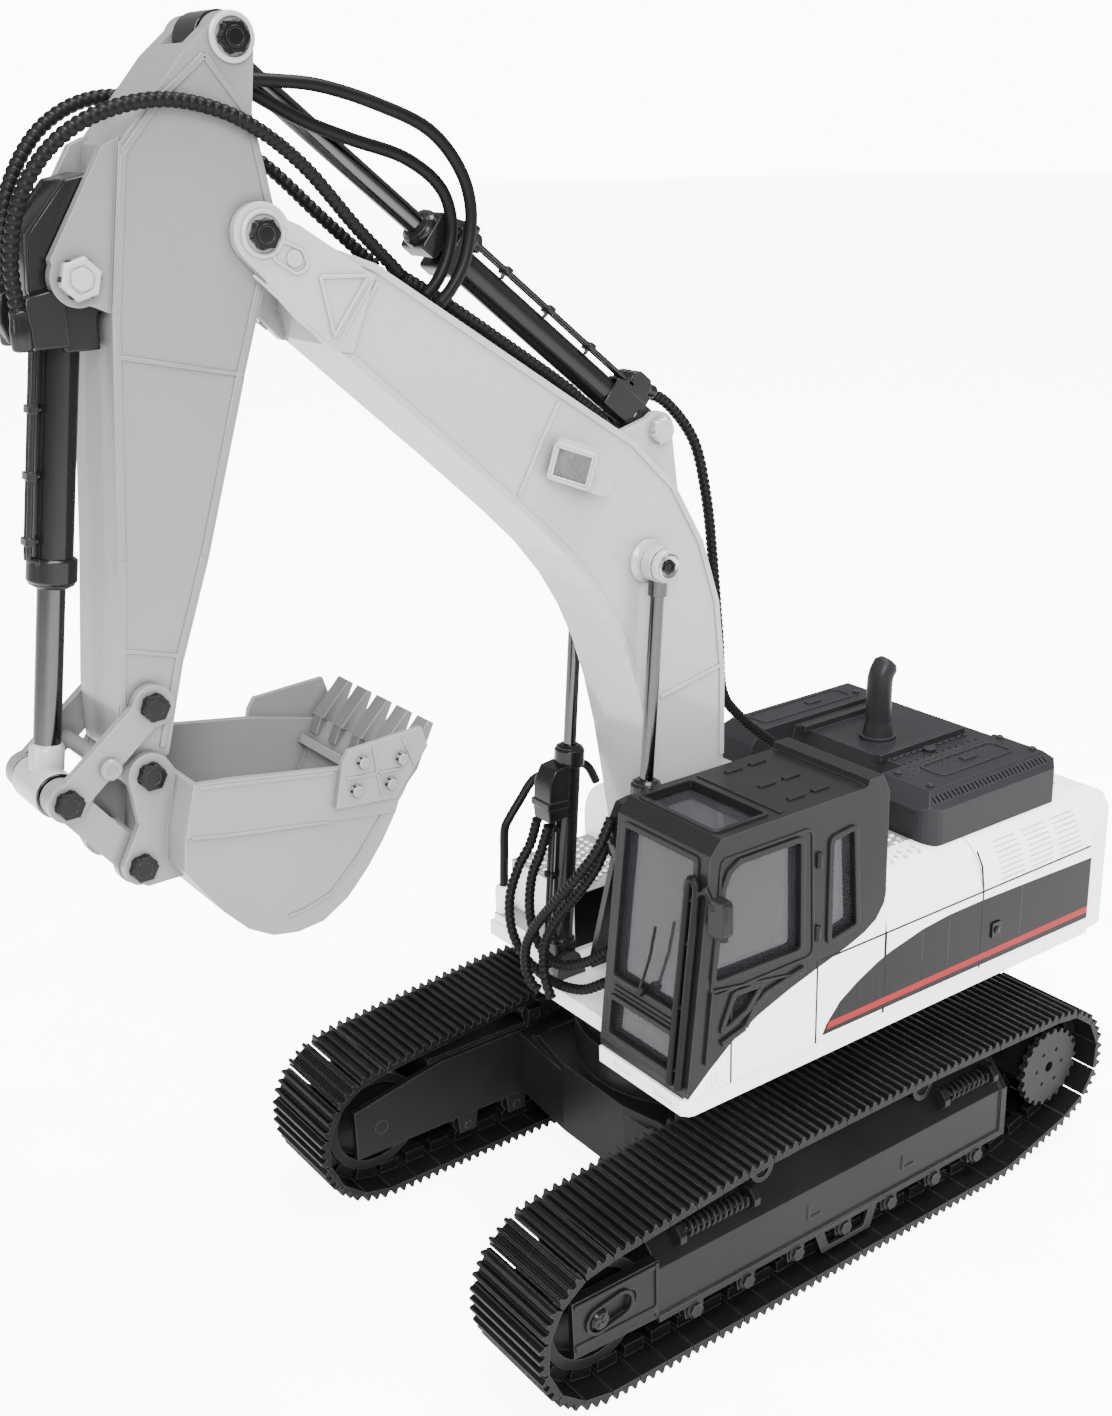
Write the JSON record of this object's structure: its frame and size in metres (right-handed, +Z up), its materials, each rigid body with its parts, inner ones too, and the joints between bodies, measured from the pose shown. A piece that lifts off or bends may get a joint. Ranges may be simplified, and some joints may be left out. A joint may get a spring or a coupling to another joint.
{
  "type": "radio controlled excavator",
  "caption": "Toy crawler excavator with tracked undercarriage, swinging house and cab, curved boom, stick and bucket moved by cylinders.",
  "frame": {"origin": "on the ground under the middle of the whole machine, arm included; the swing axis is 42.9 mm behind it", "axes": "+X forward, +Y to the left (cab) side, +Z up"},
  "size_m": [0.4378, 0.19, 0.4526],
  "materials": {
    "belt_black": "worn satin black",
    "frame_black": "satin black",
    "dark_steel": "satin black",
    "body_white": "gloss white",
    "arm_white": "gloss white paint",
    "rod_chrome": "polished",
    "cover_black": "satin gloss black",
    "trim_black": "matte black",
    "clear_glass": "clear",
    "battery_blue": "shrink wrap",
    "board_green": "coated board",
    "motor_metal": "machined",
    "pinion_brass": "machined",
    "hose_rubber": "ribbed rubber",
    "bucket_grey": "satin light grey paint",
    "barrel_black": "gloss black",
    "pin_black": "black oxide"
  },
  "bodies": {
    "undercarriage": {"chassis": "frame_black", "left_track_frame": "frame_black", "right_track_frame": "frame_black", "left_track_belt": "belt_black", "right_track_belt": "belt_black", "track_gearmotors": "motor_metal", "slew_ring": "frame_black", "frame_springs": "dark_steel"},
    "left_sprocket": {"left_sprocket": "dark_steel"},
    "right_sprocket": {"right_sprocket": "dark_steel"},
    "left_idler": {"left_idler": "dark_steel"},
    "right_idler": {"right_idler": "dark_steel"},
    "bottom_roller_1": {"track_rollers_1": "dark_steel"},
    "bottom_roller_2": {"track_rollers_2": "dark_steel"},
    "bottom_roller_3": {"track_rollers_3": "dark_steel"},
    "bottom_roller_4": {"track_rollers_4": "dark_steel"},
    "bottom_roller_5": {"track_rollers_5": "dark_steel"},
    "bottom_roller_6": {"track_rollers_6": "dark_steel"},
    "bottom_roller_7": {"track_rollers_7": "dark_steel"},
    "carrier_roller_1": {"carrier_rollers_1": "dark_steel"},
    "carrier_roller_2": {"carrier_rollers_2": "dark_steel"},
    "house": {"house_base": "body_white", "house_pins": "pin_black", "left_panels": "body_white", "upper_deck": "body_white", "counterweight": "body_white", "engine_hood": "cover_black", "exhaust_stack": "trim_black", "deck_handrail": "trim_black", "cab_shell": "cover_black", "cab_glass": "clear_glass", "cab_rails": "trim_black", "cab_seat": "trim_black", "battery_pack": "battery_blue", "control_board": "board_green", "swing_gearmotor": "motor_metal"},
    "pinion": {"swing_pinion": "pinion_brass"},
    "boom": {"boom": "arm_white", "boom_pins": "pin_black", "work_lamp": "arm_white", "boom_top_hoses": "hose_rubber", "boom_cylinder_hoses": "hose_rubber", "stick_loop_hoses": "hose_rubber", "stick_feed_hoses": "hose_rubber"},
    "boom_barrels": {"boom_barrels": "barrel_black"},
    "boom_rods": {"boom_rods": "rod_chrome"},
    "stick": {"stick": "arm_white", "stick_pins": "pin_black"},
    "stick_barrel": {"stick_barrel": "barrel_black"},
    "stick_rod": {"stick_rod": "rod_chrome"},
    "lever": {"bell_cranks": "arm_white", "crank_pin": "pin_black"},
    "bucket": {"bucket": "bucket_grey", "bucket_teeth": "bucket_grey", "side_cutters": "bucket_grey", "bucket_pin": "pin_black"},
    "link": {"bucket_link": "arm_white"},
    "bucket_barrel": {"bucket_barrel": "barrel_black"},
    "bucket_rod": {"bucket_rod": "rod_chrome"}
  },
  "joints": [
    {"name": "house_swing", "type": "hinge", "parent": "undercarriage", "child": "house", "pos_m": [-0.0429, 0, 0.086], "axis": [0, 0, 1], "continuous": true},
    {"name": "swing_pinion_spin", "type": "hinge", "parent": "house", "child": "pinion", "pos_m": [-0.0717, 0, 0.086], "axis": [0, 0, 1], "continuous": true},
    {"name": "left_sprocket_spin", "type": "hinge", "parent": "undercarriage", "child": "left_sprocket", "pos_m": [-0.1619, 0.074, 0.038], "axis": [0, 1, 0], "continuous": true},
    {"name": "left_idler_spin", "type": "hinge", "parent": "undercarriage", "child": "left_idler", "pos_m": [0.0761, 0.074, 0.031], "axis": [0, 1, 0], "continuous": true},
    {"name": "right_sprocket_spin", "type": "hinge", "parent": "undercarriage", "child": "right_sprocket", "pos_m": [-0.1619, -0.074, 0.038], "axis": [0, 1, 0], "continuous": true},
    {"name": "right_idler_spin", "type": "hinge", "parent": "undercarriage", "child": "right_idler", "pos_m": [0.0761, -0.074, 0.031], "axis": [0, 1, 0], "continuous": true},
    {"name": "bottom_roller_1_spin", "type": "hinge", "parent": "undercarriage", "child": "bottom_roller_1", "pos_m": [0.0341, 0, 0.0145], "axis": [0, 1, 0], "continuous": true},
    {"name": "bottom_roller_2_spin", "type": "hinge", "parent": "undercarriage", "child": "bottom_roller_2", "pos_m": [0.0089, 0, 0.0145], "axis": [0, 1, 0], "continuous": true},
    {"name": "bottom_roller_3_spin", "type": "hinge", "parent": "undercarriage", "child": "bottom_roller_3", "pos_m": [-0.0163, 0, 0.0145], "axis": [0, 1, 0], "continuous": true},
    {"name": "bottom_roller_4_spin", "type": "hinge", "parent": "undercarriage", "child": "bottom_roller_4", "pos_m": [-0.0415, 0, 0.0145], "axis": [0, 1, 0], "continuous": true},
    {"name": "bottom_roller_5_spin", "type": "hinge", "parent": "undercarriage", "child": "bottom_roller_5", "pos_m": [-0.0667, 0, 0.0145], "axis": [0, 1, 0], "continuous": true},
    {"name": "bottom_roller_6_spin", "type": "hinge", "parent": "undercarriage", "child": "bottom_roller_6", "pos_m": [-0.0919, 0, 0.0145], "axis": [0, 1, 0], "continuous": true},
    {"name": "bottom_roller_7_spin", "type": "hinge", "parent": "undercarriage", "child": "bottom_roller_7", "pos_m": [-0.1171, 0, 0.0145], "axis": [0, 1, 0], "continuous": true},
    {"name": "carrier_roller_1_spin", "type": "hinge", "parent": "undercarriage", "child": "carrier_roller_1", "pos_m": [-0.0029, 0, 0.0546], "axis": [0, 1, 0], "continuous": true},
    {"name": "carrier_roller_2_spin", "type": "hinge", "parent": "undercarriage", "child": "carrier_roller_2", "pos_m": [-0.0889, 0, 0.0546], "axis": [0, 1, 0], "continuous": true},
    {"name": "boom_lift", "type": "hinge", "parent": "house", "child": "boom", "pos_m": [-0.0269, 0, 0.138], "axis": [0, -1, 0], "range_deg": [-40, 5], "deforming": ["boom_cylinder_hoses", "boom_top_hoses"]},
    {"name": "boom_barrel_pivot", "type": "hinge", "parent": "house", "child": "boom_barrels", "pos_m": [0.0081, 0, 0.1], "axis": [0, -1, 0], "range_deg": [-32.11, 4.01]},
    {"name": "boom_rod_slide", "type": "slide", "parent": "boom_barrels", "child": "boom_rods", "axis": [-0.0816, 0, 0.9967], "range_m": [-0.02772, 0.00347]},
    {"name": "stick_swing", "type": "hinge", "parent": "boom", "child": "stick", "pos_m": [0.1351, 0, 0.3925], "axis": [0, -1, 0], "range_deg": [-5, 40], "deforming": ["stick_loop_hoses", "stick_feed_hoses"]},
    {"name": "stick_barrel_pivot", "type": "hinge", "parent": "boom", "child": "stick_barrel", "pos_m": [-0.0179, 0, 0.315], "axis": [0, -1, 0], "range_deg": [-0.65, 5.19]},
    {"name": "stick_rod_slide", "type": "slide", "parent": "stick_barrel", "child": "stick_rod", "axis": [0.7682, 0, 0.6402], "range_m": [-0.03168, 0.00396]},
    {"name": "lever_swing", "type": "hinge", "parent": "stick", "child": "lever", "pos_m": [0.1831, 0, 0.2606], "axis": [0, -1, 0], "range_deg": [-5, 45]},
    {"name": "bucket_curl", "type": "hinge", "parent": "stick", "child": "bucket", "pos_m": [0.1865, 0, 0.2396], "axis": [0, -1, 0], "range_deg": [-7.33, 65.94]},
    {"name": "link_swing", "type": "hinge", "parent": "lever", "child": "link", "pos_m": [0.2121, 0, 0.2373], "axis": [0, -1, 0], "range_deg": [-15.4, 1.71]},
    {"name": "bucket_barrel_pivot", "type": "hinge", "parent": "stick", "child": "bucket_barrel", "pos_m": [0.1891, 0, 0.384], "axis": [0, -1, 0], "range_deg": [-0.69, 6.18]},
    {"name": "bucket_rod_slide", "type": "slide", "parent": "bucket_barrel", "child": "bucket_rod", "axis": [0.1549, 0, -0.9879], "range_m": [-0.02436, 0.00271]}
  ],
  "couplings": [
    {"joint": "swing_pinion_spin", "follows": "house_swing", "ratio": -5},
    {"joint": "left_idler_spin", "follows": "left_sprocket_spin", "ratio": 0.9067},
    {"joint": "right_idler_spin", "follows": "right_sprocket_spin", "ratio": 0.9067},
    {"joint": "boom_barrel_pivot", "follows": "boom_lift", "ratio": 0.80194},
    {"joint": "boom_rod_slide", "follows": "boom_lift", "m_per_rad": 0.039663},
    {"joint": "stick_barrel_pivot", "follows": "stick_swing", "ratio": 0.12967},
    {"joint": "stick_rod_slide", "follows": "stick_swing", "m_per_rad": -0.045331},
    {"joint": "bucket_curl", "follows": "lever_swing", "ratio": 1.4639},
    {"joint": "link_swing", "follows": "lever_swing", "ratio": -0.34183},
    {"joint": "bucket_barrel_pivot", "follows": "lever_swing", "ratio": 0.1371},
    {"joint": "bucket_rod_slide", "follows": "lever_swing", "m_per_rad": -0.030982}
  ]
}
